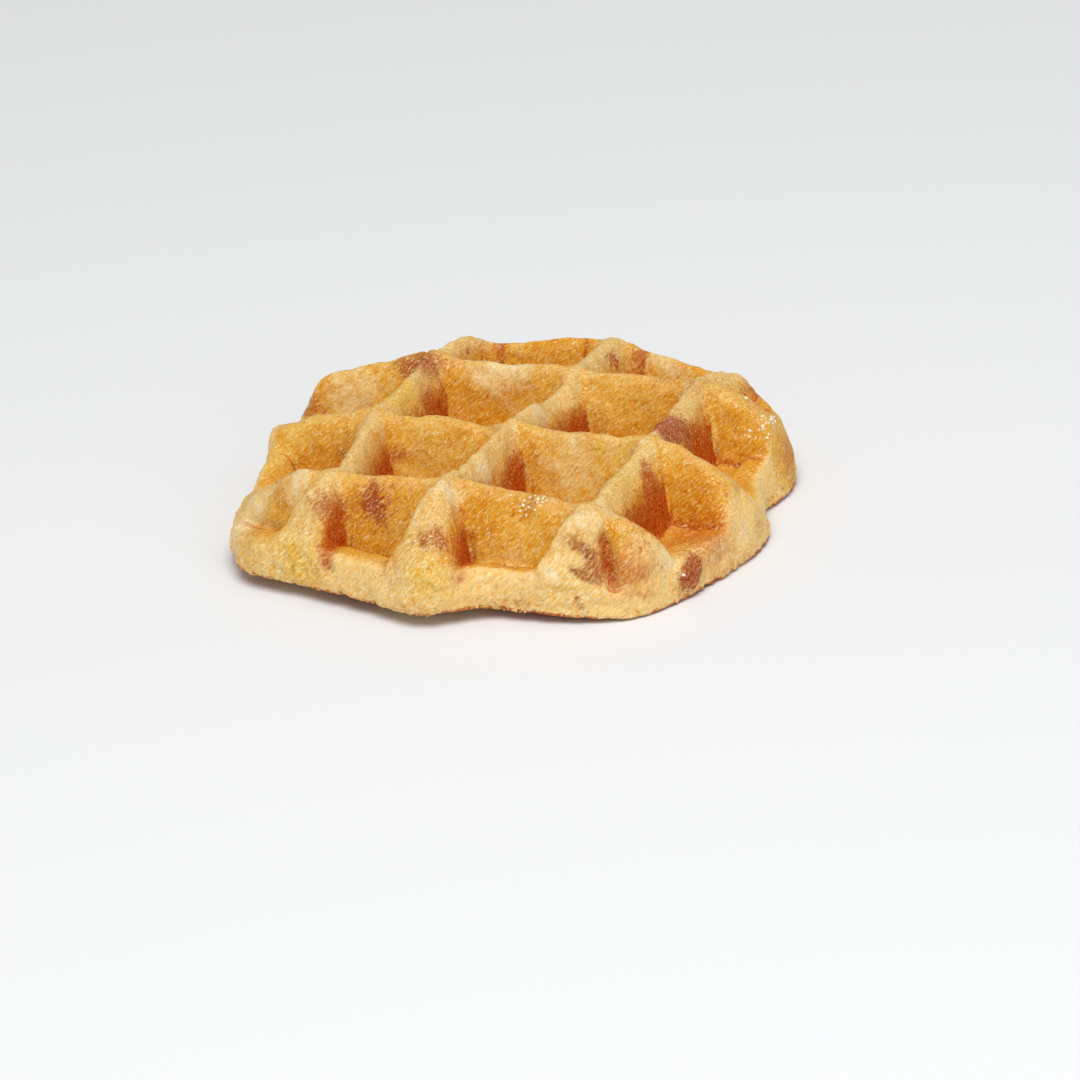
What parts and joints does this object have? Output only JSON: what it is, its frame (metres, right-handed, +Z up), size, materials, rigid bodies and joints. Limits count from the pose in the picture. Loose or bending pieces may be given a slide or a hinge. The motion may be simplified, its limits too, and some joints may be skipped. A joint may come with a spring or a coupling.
{
  "type": "plain waffle",
  "caption": "Round plain waffle of baked dough, deep square pits between high rounded ridges on top, flat toasted underside, uneven torn rim.",
  "frame": {"origin": "centre of the bounding box in plan, on the flat underside that the waffle rests on", "axes": "+Z up, out of the face with the pits; the ridges run along X and Y; the picture looks from the front, -Y, a little from the right"},
  "size_m": [0.0976, 0.093, 0.0227],
  "materials": {
    "crust": "golden baked dough with a satin gloss, browner in the pits and paler on the ridges and the rim"
  },
  "bodies": {
    "root": {"waffle": "crust"}
  },
  "joints": []
}
